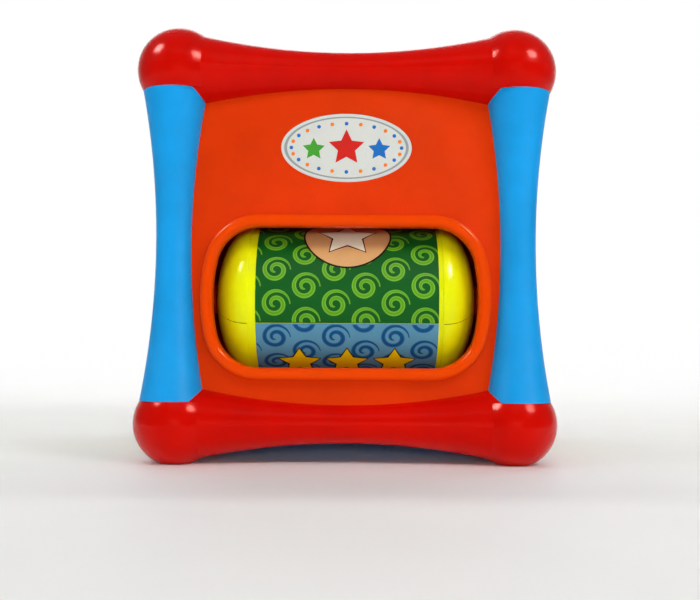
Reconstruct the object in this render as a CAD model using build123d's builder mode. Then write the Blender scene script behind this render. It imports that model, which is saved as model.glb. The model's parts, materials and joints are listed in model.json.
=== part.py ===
"""Baby activity cube: a ball-cornered frame on four waisted posts, with an activity on each face.

Millimetres, +Z up, the front towards -Y. The origin is on the floor under the cube's centre.
"""

import os
from math import atan, cos, pi, radians, sin, sqrt, tan

from build123d import *

os.makedirs("parts", exist_ok=True)

# Frame: corner balls joined by waisted bars, on waisted posts
HALF = 68.0  # a post's axis from the cube's centre, along X and along Y
RISE = 70.0  # a bar's axis above or below the cube's centre
BALL = 17.0  # radius of a corner ball
BALL_AT = 66.5  # ball centre from the cube's centre, along X and along Y: a little inside its post's axis
FLOOR_FLAT = 15.5  # ball centre above the floor: the balls are cut flat there
POST_FLAT = 9.0  # ball centre to the flat face that meets a post
CUBE_Z = FLOOR_FLAT + RISE
LOW_BALL_Z = FLOOR_FLAT
TOP_BALL_Z = CUBE_Z + RISE
POST_HALF = RISE - POST_FLAT
POST_WAIST = 7.1
POST_ARC = 331.0  # radius of the arc that hollows a post's side
BAR_WAIST = 7.8
BAR_ARC = 270.0
BAR_HALF = 61.0  # a bar ends inside its ball
WALL = 2.2
CLOSING = 0.01  # how far a wall that closes a ball's flat stays inside the ball's surface
POSTS = [(x, y) for y in (-HALF, HALF) for x in (-HALF, HALF)]
BALLS = [(x, y) for y in (-BALL_AT, BALL_AT) for x in (-BALL_AT, BALL_AT)]

# Panels, let into the posts, bars and balls
PANEL = 2.4
LET_IN = 1.5
SLOT_GAP = 0.1
FACE = HALF + PANEL / 2  # outer face of a side panel
INSIDE = HALF - PANEL / 2

# Fasteners
SHANK = 1.5
SHANK_HOLE = 1.6
HEAD = 3.0
HEAD_HEIGHT = 2.4
SCREW_CROSS = 0.7
HEAD_TUBE = 3.4
BOSS = 5.0
POST_BOSS = 4.2
POST_BOSS_LENGTH = 15.0
COLLAR_OUT = 9.8
COLLAR_IN = 8.4
COLLAR_HEIGHT = 3.0
PEG_DEPTH = 2.0  # how far the upper shell's pegs reach into the screw tubes
SCREW_SEAT = LOW_BALL_Z - 3.5  # where the heads of the bottom frame's screws stop
POST_RIB = 1.6
RIB_SETBACK = 2.5
TOP_FRAME_SCREW = 16.0  # lengths of the screws' shanks
BOTTOM_FRAME_SCREW = 26.0
HOUSING_SCREW = 7.0
RACK_SCREW = 10.0
CUP_SCREW = 9.0

# Front window and its raised rim
WINDOW_Z = CUBE_Z - 20.3
WINDOW_HALF_X = 52.4
WINDOW_HALF_Z = 27.7
WINDOW_BOW = 65.0  # radius of the bowed sides
WINDOW_CORNER = 17.0
RIM_WIDTH = 4.9
RIM_PROUD = 4.0
RIM_ROUND = 2.2
BADGE_Z = CUBE_Z + 39.2
BADGE_HALF_X = 26.0
BADGE_HALF_Z = 13.75
BADGE_DEPTH = 0.6
BADGE_THICKNESS = 0.4

# Drum, its axle and its housing
DRUM_Y = -42.5
DRUM_Z = WINDOW_Z
DRUM_RADIUS = 30.5
DRUM_SHOULDER = 38.7  # where the domed ends start
DRUM_DOME = 15.0
DRUM_WALL = 2.2
BAND_HALF = 38.4  # recessed band for the labels
BAND_DEPTH = 0.5
LABEL_HALF = 36.0
LABEL_SHIFT = 0.6
LABEL_THICKNESS = 0.25
LABEL_GAP_DEG = 0.4
SEAM_DEG = 20.0  # the seam sits this far below the drum's front
AXLE = 2.0
RUNNING_GAP = 0.06
HUB = 5.0
HUB_INNER_END = 42.0
HOUSING_HALF_X = 57.5
HOUSING_HALF_Z = 34.5
HOUSING_CORNER = 16.0
HOUSING_WALL = 2.0
HOUSING_SCREWS = [(0.0, -38.0), (-34.0, 38.5), (34.0, 38.5)]  # x, and z from the window's centre
TAB = 3.0
TAB_BOSS_LENGTH = 6.0
TAB_THICKNESS = 2.0
AXLE_BOSS = 6.0
AXLE_BOSS_LENGTH = 1.6
AXLE_CLIP = 4.5
AXLE_CLIP_WIDTH = 2.5
RATTLE_BEAD = 3.0
RATTLE_BEADS = 5
RATTLE_SPACING = 13.0
RATTLE_STAGGER = 1.5
RATTLE_GAP = 0.4

# Gears on the right face
MODULE = 3.5
PRESSURE_DEG = 25.0
BACKLASH = 0.4
ADDENDUM = 0.9 * MODULE
DEDENDUM = 1.25 * MODULE
GEAR_THICKNESS = 6.0
GEAR_BACK = FACE + 0.8
GEAR_PIN = 3.0
PIN_FLANGE = 5.0
PIN_FLANGE_THICKNESS = 2.0
GEAR_RIM = 2.5
GEAR_DISH = 2.0
GEAR_HOLES = 5
GEAR_HOLE_EDGE = 0.6
CAP = 6.5
CAP_THICKNESS = 3.0
CAP_CLEAR = 1.0
FACE_GAP = 0.2  # between a turning face and a fixed one
LARGE_TEETH = 16
MEDIUM_TEETH = 12
SMALL_TEETH = 11
LARGE_AT = (-21.0, CUBE_Z + 20.0)  # y and z of the large gear's pin
LARGE_TO_MEDIUM_DEG = -20.0
MEDIUM_TO_SMALL_DEG = -125.0

# Mirror and door on the left face
MIRROR_Z = CUBE_Z + 3.0
MIRROR = 24.0
MIRROR_SINK = 0.8
MIRROR_THICKNESS = 1.2
BEZEL_IN = 23.0
BEZEL_OUT = 28.0
BEZEL_PROUD = 1.6
BEZEL_ROUND = 0.4
DOOR_HALF_Y = 31.0
DOOR_HALF_Z = 33.0
DOOR_CORNER = 9.0
DOOR_BACK = FACE + 2.0
DOOR_THICKNESS = 3.0
DOOR_ROUND = 0.8
HINGE_Y = -34.5
HINGE_OUT = DOOR_BACK + DOOR_THICKNESS / 2
KNUCKLE = 2.6
KNUCKLE_HALF = 14.0
END_KNUCKLE = 8.0
KNUCKLE_GAP = 0.3
HINGE_PIN = 1.2
KNOB_Y = 22.0
KNOB = 5.0
KNOB_LENGTH = 7.0
KNOB_ROUND = 2.5
KNOB_PEG = 2.0

# Beads on rods on the back face
ROD = 2.2
ROD_Y = FACE + 8.5
ROD_RISE = 23.0
ROD_HALF = 42.0
BEAD = 7.0
BEADS_AT = (-22.0, 18.0, -6.0)  # x of each bead's centre, top rod first
BARREL_ROUND = 3.0
PETAL = 2.6
PETALS = 6
FLOWER_HEART = 5.0
FLOWER_HALF = 4.5
RACK_END_X = 41.0
RACK_END_WIDTH = 7.0
RACK_END_DEPTH = 13.0
RACK_END_HALF_Z = 34.0
RACK_END_CORNER = 6.0
RACK_END_ROUND = 1.2
RACK_SCREW_RISE = 14.0
PILOT_SPARE = 0.4

# Push button in the top face
BUTTON = 22.0
BUTTON_HOLE = 22.4
BUTTON_RING = 4.0
BUTTON_RING_PROUD = 1.6
BUTTON_RING_ROUND = 0.7
BUTTON_FLANGE = 25.0
BUTTON_SIDE_TOP = TOP_BALL_Z + 4.5
BUTTON_DOME = 5.0
BUTTON_ROOF_RISE = 1.5
BUTTON_STEM = 6.0
BUTTON_STEM_END = TOP_BALL_Z - 4.0
FLANGE_TOP = TOP_BALL_Z - PANEL / 2 - 0.5
FLANGE_THICKNESS = 2.0
CUP_IN = 27.0
CUP_OUT = 29.0
CUP_FLOOR = 2.0
CUP_DEPTH = 18.0
CUP_SCREW_RING = 36.0
CUP_SCREWS_DEG = (90, 210, 330)
CUP_SCREW_BOSS = 8.0
EAR = 4.5
EAR_THICKNESS = 2.5
BELLOWS = 10.0
BELLOWS_FOLD = 2.5
BELLOWS_FOLDS = 3
BELLOWS_WALL = 1.0
REED = 5.0
REED_HOLE = 1.2

# Bottom face
BOTTOM_RING_OUT = 36.0
BOTTOM_RING_IN = 32.0
BOTTOM_RING_PROUD = 1.0

FRONT = Plane((0, -HALF, CUBE_Z), x_dir=(1, 0, 0), z_dir=(0, -1, 0))
BACK = Plane((0, HALF, CUBE_Z), x_dir=(-1, 0, 0), z_dir=(0, 1, 0))
RIGHT = Plane((HALF, 0, CUBE_Z), x_dir=(0, 1, 0), z_dir=(1, 0, 0))
LEFT = Plane((-HALF, 0, CUBE_Z), x_dir=(0, -1, 0), z_dir=(-1, 0, 0))
TOP = Plane((0, 0, TOP_BALL_Z), x_dir=(1, 0, 0), z_dir=(0, 0, 1))
BOTTOM = Plane((0, 0, LOW_BALL_Z), x_dir=(1, 0, 0), z_dir=(0, 0, -1))


def finish(piece, name):
    """Label a finished piece and write it as its own node."""
    piece.part.label = name
    export_step(piece.part, f"parts/{name}.step")


def waisted_bar(plane, waist, arc, half, inset=0.0, mode=Mode.ADD):
    """Round bar along the plane's Y, thinnest in the middle, its side hollowed by one arc."""
    middle = waist - inset
    end = waist + arc - sqrt((arc + inset) ** 2 - half**2)
    with BuildSketch(plane) as profile:
        with BuildLine():
            Polyline((end, -half), (0, -half), (0, half), (end, half))
            ThreePointArc((end, half), (middle, 0), (end, -half))
        make_face()
    revolve(profile.sketch, axis=Axis(plane.origin, plane.y_dir), mode=mode)


def frame_bars(ball_z, inset=0.0, half=BAR_HALF, mode=Mode.ADD):
    """The four bars of one frame."""
    for side in (-BALL_AT, BALL_AT):
        along_x = Plane((0, side, ball_z), x_dir=(0, 0, 1), z_dir=(0, 1, 0))
        along_y = Plane((side, 0, ball_z), x_dir=(0, 0, 1), z_dir=(-1, 0, 0))
        waisted_bar(along_x, BAR_WAIST, BAR_ARC, half, inset, mode)
        waisted_bar(along_y, BAR_WAIST, BAR_ARC, half, inset, mode)


def tube(x, y, low, high, outer, inner=0.0, mode=Mode.ADD):
    """Upright tube, or a plain cylinder where inner is 0."""
    with BuildSketch(Plane.XY.offset(low)) as ring:
        with Locations((x, y)):
            Circle(outer)
            if inner:
                Circle(inner, mode=Mode.SUBTRACT)
    extrude(ring.sketch, amount=high - low, mode=mode)


def panel_outline(half, rise, side_waist, side_arc, depth):
    """Outline of a panel that runs the given depth into its neighbours, whose axes are at half and rise."""
    Rectangle(2 * half, 2 * rise)
    for side in (-1, 1):
        with Locations((side * (side_waist + side_arc - half), 0)):
            Circle(side_arc + depth, mode=Mode.INTERSECT)
        with Locations((0, side * (BAR_WAIST + BAR_ARC - rise))):
            Circle(BAR_ARC + depth, mode=Mode.INTERSECT)
    with GridLocations(2 * BALL_AT, 2 * rise, 2, 2):
        Circle(BALL - depth, mode=Mode.SUBTRACT)


def upright_blank(plane, depth=LET_IN, thickness=PANEL, mode=Mode.ADD):
    """Flat blank of a side panel, between two posts and two bars."""
    with BuildSketch(plane) as outline:
        panel_outline(HALF, RISE, POST_WAIST, POST_ARC, depth)
    extrude(outline.sketch, amount=thickness / 2, both=True, mode=mode)


def level_blank(plane, depth=LET_IN, thickness=PANEL, mode=Mode.ADD):
    """Flat blank of the top or the bottom panel, between four bars."""
    with BuildSketch(plane) as outline:
        panel_outline(BALL_AT, BALL_AT, BAR_WAIST, BAR_ARC, depth)
    extrude(outline.sketch, amount=thickness / 2, both=True, mode=mode)


def cut_panel_slots():
    """Slots for all six panels, cut from the piece in hand."""
    depth = LET_IN + SLOT_GAP
    thickness = PANEL + 2 * SLOT_GAP
    for plane in (FRONT, BACK, RIGHT, LEFT):
        upright_blank(plane, depth, thickness, Mode.SUBTRACT)
    for plane in (TOP, BOTTOM):
        level_blank(plane, depth, thickness, Mode.SUBTRACT)


def screw(plane, length):
    """Pan-head screw: the head lies on the plane's back, the shank along its Z."""
    with BuildSketch(plane) as shank:
        Circle(SHANK)
    extrude(shank.sketch, amount=length)
    with BuildSketch(plane) as head:
        Circle(HEAD)
    extrude(head.sketch, amount=-HEAD_HEIGHT)
    with BuildSketch(plane.offset(-HEAD_HEIGHT)) as cross:
        Rectangle(HEAD, SCREW_CROSS)
        Rectangle(SCREW_CROSS, HEAD)
    extrude(cross.sketch, amount=HEAD_HEIGHT / 2, mode=Mode.SUBTRACT)


def frame_outside(ball_z, towards_posts):
    """Outer form of one frame: balls cut flat at the posts and the floor, and four bars."""
    flat_z = ball_z + towards_posts * POST_FLAT
    for x, y in BALLS:
        with Locations((x, y, ball_z)):
            Sphere(BALL)
        with Locations((x, y, flat_z + towards_posts * BALL / 2)):
            Box(2 * BALL, 2 * BALL, BALL, mode=Mode.SUBTRACT)
        with Locations((x, y, -BALL / 2)):
            Box(2 * BALL, 2 * BALL, BALL, mode=Mode.SUBTRACT)
    frame_bars(ball_z)


def frame_shell(ball_z, towards_posts):
    """One hollow frame, still in one piece, with its post seats and panel slots."""
    flat_z = ball_z + towards_posts * POST_FLAT
    frame_outside(ball_z, towards_posts)
    with Locations(*[(x, y, ball_z) for x, y in BALLS]):
        Sphere(BALL - WALL, mode=Mode.SUBTRACT)
    frame_bars(ball_z, WALL, BAR_HALF - WALL, Mode.SUBTRACT)
    low, high = sorted((flat_z, flat_z - towards_posts * WALL))
    for x, y in BALLS:
        tube(x, y, low, high, sqrt(BALL**2 - POST_FLAT**2) - CLOSING)
        if ball_z == LOW_BALL_Z:
            tube(x, y, 0, WALL, sqrt(BALL**2 - FLOOR_FLAT**2) - CLOSING)
    low, high = sorted((flat_z, flat_z + towards_posts * COLLAR_HEIGHT))
    for x, y in POSTS:
        tube(x, y, low, high, COLLAR_OUT, COLLAR_IN)
    cut_panel_slots()


# Top frame: the posts are screwed on from inside, then the upper shell's pegs close the screw tubes
with BuildPart() as top_frame:
    frame_shell(TOP_BALL_Z, -1)

with BuildPart() as top_frame_lower:
    add(top_frame.part)
    split(bisect_by=Plane.XY.offset(TOP_BALL_Z), keep=Keep.BOTTOM)
    for x, y in POSTS:
        tube(x, y, TOP_BALL_Z - POST_FLAT + WALL, TOP_BALL_Z, BOSS, HEAD_TUBE)
        tube(x, y, TOP_BALL_Z - POST_FLAT, TOP_BALL_Z - POST_FLAT + WALL, SHANK_HOLE, mode=Mode.SUBTRACT)
finish(top_frame_lower, "top_frame_lower")

with BuildPart() as top_frame_upper:
    add(top_frame.part)
    split(bisect_by=Plane.XY.offset(TOP_BALL_Z), keep=Keep.TOP)
    for x, y in POSTS:
        tube(x, y, TOP_BALL_Z - PEG_DEPTH, TOP_BALL_Z + BALL - WALL / 2, HEAD_TUBE - SLOT_GAP)
finish(top_frame_upper, "top_frame_upper")

# Bottom frame: screws from the floor side clamp both shells to the posts
with BuildPart() as bottom_frame:
    frame_shell(LOW_BALL_Z, 1)

with BuildPart() as bottom_frame_upper:
    add(bottom_frame.part)
    split(bisect_by=Plane.XY.offset(LOW_BALL_Z), keep=Keep.TOP)
    for x, y in POSTS:
        tube(x, y, LOW_BALL_Z, LOW_BALL_Z + POST_FLAT - WALL, BOSS)
        tube(x, y, LOW_BALL_Z, LOW_BALL_Z + POST_FLAT, SHANK_HOLE, mode=Mode.SUBTRACT)
finish(bottom_frame_upper, "bottom_frame_upper")

with BuildPart() as bottom_frame_lower:
    add(bottom_frame.part)
    split(bisect_by=Plane.XY.offset(LOW_BALL_Z), keep=Keep.BOTTOM)
    for x, y in POSTS:
        tube(x, y, WALL / 2, LOW_BALL_Z, BOSS)
        tube(x, y, 0, SCREW_SEAT, HEAD_TUBE, mode=Mode.SUBTRACT)
        tube(x, y, SCREW_SEAT, LOW_BALL_Z, SHANK_HOLE, mode=Mode.SUBTRACT)
finish(bottom_frame_lower, "bottom_frame_lower")

with BuildPart() as frame_screws_top:
    for x, y in POSTS:
        seat = Plane((x, y, TOP_BALL_Z - POST_FLAT + WALL), x_dir=(1, 0, 0), z_dir=(0, 0, -1))
        screw(seat, TOP_FRAME_SCREW)
finish(frame_screws_top, "frame_screws_top")

with BuildPart() as frame_screws_bottom:
    for x, y in POSTS:
        screw(Plane((x, y, SCREW_SEAT), x_dir=(1, 0, 0), z_dir=(0, 0, 1)), BOTTOM_FRAME_SCREW)
finish(frame_screws_bottom, "frame_screws_bottom")

# Posts: open tubes with a ribbed screw boss in each end, notched where the bars cross them
with BuildPart() as both_frames_outside:
    frame_outside(TOP_BALL_Z, -1)
    frame_outside(LOW_BALL_Z, 1)

BOSS_SETBACK = COLLAR_HEIGHT + 0.2
POST_END_BORE = POST_WAIST + POST_ARC - sqrt((POST_ARC + WALL) ** 2 - POST_HALF**2)
for x, y in POSTS:
    with BuildPart() as post:
        upright = Plane((x, y, CUBE_Z), x_dir=(x, y, 0), z_dir=(y, -x, 0))
        waisted_bar(upright, POST_WAIST, POST_ARC, POST_HALF)
        waisted_bar(upright, POST_WAIST, POST_ARC, POST_HALF, WALL, Mode.SUBTRACT)
        for end in (-1, 1):
            mouth = CUBE_Z + end * (POST_HALF - BOSS_SETBACK)
            low, high = sorted((mouth, mouth - end * POST_BOSS_LENGTH))
            tube(x, y, low, high, POST_BOSS)
            with Locations((x, y, (low + high) / 2)):
                Box(2 * (POST_END_BORE - RIB_SETBACK), POST_RIB, POST_BOSS_LENGTH)
                Box(POST_RIB, 2 * (POST_END_BORE - RIB_SETBACK), POST_BOSS_LENGTH)
            tube(x, y, low, high, SHANK, mode=Mode.SUBTRACT)
        add(both_frames_outside.part, mode=Mode.SUBTRACT)
        cut_panel_slots()
    depth_word = "front" if y < 0 else "back"
    side_word = "left" if x < 0 else "right"
    finish(post, f"post_{depth_word}_{side_word}")


def window_outline(grow=0.0):
    """Window outline with straight top and bottom, bowed sides and large round corners."""
    with BuildSketch(FRONT) as outline:
        with Locations((0, WINDOW_Z - CUBE_Z)):
            Rectangle(2 * (WINDOW_HALF_X + grow), 2 * (WINDOW_HALF_Z + grow))
        for side in (-1, 1):
            with Locations((side * (WINDOW_BOW - WINDOW_HALF_X), WINDOW_Z - CUBE_Z)):
                Circle(WINDOW_BOW + grow, mode=Mode.INTERSECT)
        fillet(outline.vertices(), WINDOW_CORNER + grow)
    return outline.sketch


with BuildPart() as front_panel:
    upright_blank(FRONT)
    extrude(window_outline(RIM_WIDTH), amount=PANEL / 2 + RIM_PROUD)
    extrude(window_outline(), amount=2 * RIM_PROUD, both=True, mode=Mode.SUBTRACT)
    fillet(edges().group_by(Axis.Y)[0], RIM_ROUND)
    with BuildSketch(FRONT.offset(PANEL / 2)):
        with Locations((0, BADGE_Z - CUBE_Z)):
            Ellipse(BADGE_HALF_X, BADGE_HALF_Z)
    extrude(amount=-BADGE_DEPTH, mode=Mode.SUBTRACT)
    for x, dz in HOUSING_SCREWS:
        with BuildSketch(FRONT.offset(-PANEL / 2)):
            with Locations((x, WINDOW_Z - CUBE_Z + dz)):
                Circle(TAB)
                Circle(SHANK, mode=Mode.SUBTRACT)
        extrude(amount=-TAB_BOSS_LENGTH)
finish(front_panel, "front_panel")

with BuildPart() as badge_sticker:
    with BuildSketch(FRONT.offset(PANEL / 2 - BADGE_DEPTH)):
        with Locations((0, BADGE_Z - CUBE_Z)):
            Ellipse(BADGE_HALF_X - SLOT_GAP, BADGE_HALF_Z - SLOT_GAP)
    extrude(amount=BADGE_THICKNESS)
finish(badge_sticker, "badge_sticker")

# Drum: two half shells on an axle, with a label round each half
SEAM = Plane(
    (0, DRUM_Y, DRUM_Z),
    x_dir=(1, 0, 0),
    z_dir=(0, sin(radians(SEAM_DEG)), -cos(radians(SEAM_DEG))),
)
DRUM_AXIS = Axis((0, DRUM_Y, DRUM_Z), (1, 0, 0))
SHELLS = {"drum_shell_upper": -180, "drum_shell_lower": 180}
for name, turn in SHELLS.items():
    with BuildPart() as shell:
        with BuildSketch(SEAM):
            Rectangle(2 * DRUM_SHOULDER, 2 * DRUM_RADIUS)
            with Locations((-DRUM_SHOULDER, 0), (DRUM_SHOULDER, 0)):
                Ellipse(DRUM_DOME, DRUM_RADIUS)
            Rectangle(2 * DRUM_SHOULDER, 2 * (DRUM_RADIUS - DRUM_WALL), mode=Mode.SUBTRACT)
            with Locations((-DRUM_SHOULDER, 0), (DRUM_SHOULDER, 0)):
                Ellipse(DRUM_DOME - DRUM_WALL, DRUM_RADIUS - DRUM_WALL, mode=Mode.SUBTRACT)
            for side in (-1, 1):
                hub_length = DRUM_SHOULDER + DRUM_DOME - DRUM_WALL / 2 - HUB_INNER_END
                with Locations((side * (HUB_INNER_END + hub_length / 2), 0)):
                    Rectangle(hub_length, 2 * HUB)
                with Locations((0, side * DRUM_RADIUS)):
                    Rectangle(2 * BAND_HALF, 2 * BAND_DEPTH, mode=Mode.SUBTRACT)
            Rectangle(4 * DRUM_SHOULDER, 2 * (AXLE + RUNNING_GAP), mode=Mode.SUBTRACT)
            with Locations((0, -DRUM_RADIUS)):
                Rectangle(4 * DRUM_SHOULDER, 2 * DRUM_RADIUS, mode=Mode.SUBTRACT)
        revolve(axis=DRUM_AXIS, revolution_arc=turn)
    finish(shell, name)

LABELS = {"drum_label_green": -1, "drum_label_blue": 1}
for name, turn in LABELS.items():
    with BuildPart() as label:
        start = radians(SEAM_DEG + turn * LABEL_GAP_DEG)
        with BuildSketch(Plane(SEAM.origin, x_dir=(1, 0, 0), z_dir=(0, sin(start), -cos(start)))):
            with Locations((LABEL_SHIFT, DRUM_RADIUS - BAND_DEPTH + LABEL_THICKNESS / 2)):
                Rectangle(2 * LABEL_HALF, LABEL_THICKNESS)
        revolve(axis=DRUM_AXIS, revolution_arc=turn * (180 - 2 * LABEL_GAP_DEG))
    finish(label, name)

ACROSS = Plane((0, DRUM_Y, DRUM_Z), x_dir=(0, 1, 0), z_dir=(1, 0, 0))  # square to the drum's axis
AXLE_HALF = HOUSING_HALF_X + AXLE_CLIP_WIDTH
with BuildPart() as drum_axle:
    with BuildSketch(ACROSS):
        Circle(AXLE)
    extrude(amount=AXLE_HALF, both=True)
finish(drum_axle, "drum_axle")

with BuildPart() as axle_clips:
    for side in (-1, 1):
        with BuildSketch(ACROSS.offset(side * HOUSING_HALF_X)):
            Circle(AXLE_CLIP)
            Circle(AXLE, mode=Mode.SUBTRACT)
        extrude(amount=side * AXLE_CLIP_WIDTH)
finish(axle_clips, "axle_clips")

with BuildPart() as rattle_beads:
    rest_z = DRUM_Z - DRUM_RADIUS + DRUM_WALL + RATTLE_BEAD + RATTLE_GAP
    for step in range(RATTLE_BEADS):
        along = (step - (RATTLE_BEADS - 1) / 2) * RATTLE_SPACING
        with Locations((along, DRUM_Y + RATTLE_STAGGER * (step % 2), rest_z)):
            Sphere(RATTLE_BEAD)
finish(rattle_beads, "rattle_beads")


def housing_form(half_x, half_z, corner, front, mode):
    """A trough with a half-round back behind the drum, and round corners at its front."""
    depth = DRUM_Y - front
    with BuildSketch(ACROSS.offset(-half_x)) as section:
        Circle(half_z)
        with Locations((-depth / 2, 0)):
            Rectangle(depth, 2 * half_z)
    trough = extrude(section.sketch, amount=2 * half_x, mode=Mode.PRIVATE)
    with BuildSketch(Plane((0, front, DRUM_Z), x_dir=(1, 0, 0), z_dir=(0, 1, 0))) as mouth:
        RectangleRounded(2 * half_x, 2 * half_z, corner)
    rounded = extrude(mouth.sketch, amount=depth + half_z, mode=Mode.PRIVATE)
    add(trough & rounded, mode=mode)


with BuildPart() as drum_housing:
    housing_form(HOUSING_HALF_X, HOUSING_HALF_Z, HOUSING_CORNER, -INSIDE, Mode.ADD)
    for x, dz in HOUSING_SCREWS:
        with BuildSketch(FRONT.offset(-PANEL / 2 - TAB_BOSS_LENGTH)):
            with Locations((x, WINDOW_Z - CUBE_Z + dz)):
                Circle(TAB)
            inwards = TAB if dz < 0 else -TAB
            with Locations((x, WINDOW_Z - CUBE_Z + dz + inwards)):
                Rectangle(2 * TAB, 2 * TAB)
        extrude(amount=-TAB_THICKNESS)
    housing_form(
        HOUSING_HALF_X - HOUSING_WALL,
        HOUSING_HALF_Z - HOUSING_WALL,
        HOUSING_CORNER - HOUSING_WALL,
        -INSIDE,
        Mode.SUBTRACT,
    )
    for x, dz in HOUSING_SCREWS:
        with BuildSketch(FRONT.offset(-PANEL / 2 - TAB_BOSS_LENGTH)):
            with Locations((x, WINDOW_Z - CUBE_Z + dz)):
                Circle(SHANK_HOLE)
        extrude(amount=-TAB_THICKNESS, mode=Mode.SUBTRACT)
    for side in (-1, 1):
        with BuildSketch(ACROSS.offset(side * (HOUSING_HALF_X - HOUSING_WALL))):
            Circle(AXLE_BOSS)
        extrude(amount=-side * AXLE_BOSS_LENGTH)
    with BuildSketch(ACROSS):
        Circle(AXLE)
    extrude(amount=AXLE_HALF, both=True, mode=Mode.SUBTRACT)
finish(drum_housing, "drum_housing")

with BuildPart() as housing_screws:
    for x, dz in HOUSING_SCREWS:
        back_y = -INSIDE + TAB_BOSS_LENGTH + TAB_THICKNESS
        screw(Plane((x, back_y, WINDOW_Z + dz), x_dir=(1, 0, 0), z_dir=(0, -1, 0)), HOUSING_SCREW)
finish(housing_screws, "housing_screws")


# Right face: three gears in mesh
def pitch_radius(teeth):
    return MODULE * teeth / 2


def stepped(start, distance, degrees):
    """Point at a distance and a direction from another, in the right face's own axes."""
    turn = radians(degrees)
    return (start[0] + distance * cos(turn), start[1] + distance * sin(turn))


def meshed_phase(teeth, phase, mate_teeth, direction):
    """Phase of a mate whose gap meets this gear's tooth along the line of centres, in degrees."""
    tooth_share = (direction - phase) * teeth / 360
    return direction + 180 - (0.5 - tooth_share) * 360 / mate_teeth


MEDIUM_AT = stepped(LARGE_AT, pitch_radius(LARGE_TEETH) + pitch_radius(MEDIUM_TEETH), LARGE_TO_MEDIUM_DEG)
SMALL_AT = stepped(MEDIUM_AT, pitch_radius(MEDIUM_TEETH) + pitch_radius(SMALL_TEETH), MEDIUM_TO_SMALL_DEG)
MEDIUM_PHASE = meshed_phase(LARGE_TEETH, 0, MEDIUM_TEETH, LARGE_TO_MEDIUM_DEG)
SMALL_PHASE = meshed_phase(MEDIUM_TEETH, MEDIUM_PHASE, SMALL_TEETH, MEDIUM_TO_SMALL_DEG)
GEARS = [
    ("gear_large", LARGE_TEETH, LARGE_AT, 0.0),
    ("gear_medium", MEDIUM_TEETH, MEDIUM_AT, MEDIUM_PHASE),
    ("gear_small", SMALL_TEETH, SMALL_AT, SMALL_PHASE),
]


def turned(radius, angle):
    return (radius * cos(angle), radius * sin(angle))


def gear_outline(teeth, phase):
    """Involute gear, centred on the sketch's origin, with a tooth at the phase angle."""
    pitch = pitch_radius(teeth)
    pressure = radians(PRESSURE_DEG)
    base = pitch * cos(pressure)
    root = pitch - DEDENDUM
    tip = pitch + ADDENDUM
    half_tooth = pi / (2 * teeth) - BACKLASH / (2 * pitch) + tan(pressure) - pressure
    last_roll = sqrt((tip / base) ** 2 - 1)
    rolls = [last_roll * step / 4 for step in range(5)]
    flank = [(base * sqrt(1 + roll**2), half_tooth - roll + atan(roll)) for roll in rolls]
    tip_half = flank[-1][1]
    with BuildLine() as outline:
        for tooth in range(teeth):
            middle = radians(phase) + 2 * pi * tooth / teeth
            gap = middle + pi / teeth
            Line(turned(root, middle - half_tooth), turned(base, middle - half_tooth))
            Spline(*[turned(radius, middle - angle) for radius, angle in flank])
            tip_start, tip_end = turned(tip, middle - tip_half), turned(tip, middle + tip_half)
            ThreePointArc(tip_start, turned(tip, middle), tip_end)
            Spline(*[turned(radius, middle + angle) for radius, angle in reversed(flank)])
            Line(turned(base, middle + half_tooth), turned(root, middle + half_tooth))
            next_start = middle + 2 * pi / teeth - half_tooth
            ThreePointArc(turned(root, middle + half_tooth), turned(root, gap), turned(root, next_start))
    make_face(outline.edges())


for name, teeth, (y, z), phase in GEARS:
    with BuildPart() as gear:
        dish = pitch_radius(teeth) - DEDENDUM - GEAR_RIM
        hub = CAP + CAP_CLEAR
        back = Plane((GEAR_BACK, y, z), x_dir=(0, 1, 0), z_dir=(1, 0, 0))
        with BuildSketch(back):
            gear_outline(teeth, phase)
            Circle(GEAR_PIN + RUNNING_GAP, mode=Mode.SUBTRACT)
        extrude(amount=GEAR_THICKNESS)
        with BuildSketch(back.offset(GEAR_THICKNESS)):
            Circle(dish)
            Circle(hub, mode=Mode.SUBTRACT)
        extrude(amount=-GEAR_DISH, mode=Mode.SUBTRACT)
        with BuildSketch(back):
            with PolarLocations((dish + hub) / 2, GEAR_HOLES, start_angle=phase):
                Circle((dish - hub) / 2 - GEAR_HOLE_EDGE)
        extrude(amount=GEAR_THICKNESS, mode=Mode.SUBTRACT)
    finish(gear, name)

with BuildPart() as right_panel:
    upright_blank(RIGHT)
    for name, teeth, (y, z), phase in GEARS:
        with BuildSketch(RIGHT.offset(PANEL / 2)):
            with Locations((y, z - CUBE_Z)):
                Circle(PIN_FLANGE)
        extrude(amount=GEAR_BACK - FACE - FACE_GAP)
        with BuildSketch(RIGHT):
            with Locations((y, z - CUBE_Z)):
                Circle(GEAR_PIN)
        extrude(amount=PANEL, both=True, mode=Mode.SUBTRACT)
finish(right_panel, "right_panel")

CAP_BACK = GEAR_BACK + GEAR_THICKNESS + FACE_GAP
with BuildPart() as gear_pins:
    for name, teeth, (y, z), phase in GEARS:
        inside = Plane((INSIDE, y, z), x_dir=(0, 1, 0), z_dir=(1, 0, 0))
        with BuildSketch(inside):
            Circle(GEAR_PIN)
        extrude(amount=CAP_BACK + CAP_THICKNESS / 2 - INSIDE)
        with BuildSketch(inside):
            Circle(PIN_FLANGE)
        extrude(amount=-PIN_FLANGE_THICKNESS)
finish(gear_pins, "gear_pins")

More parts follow.
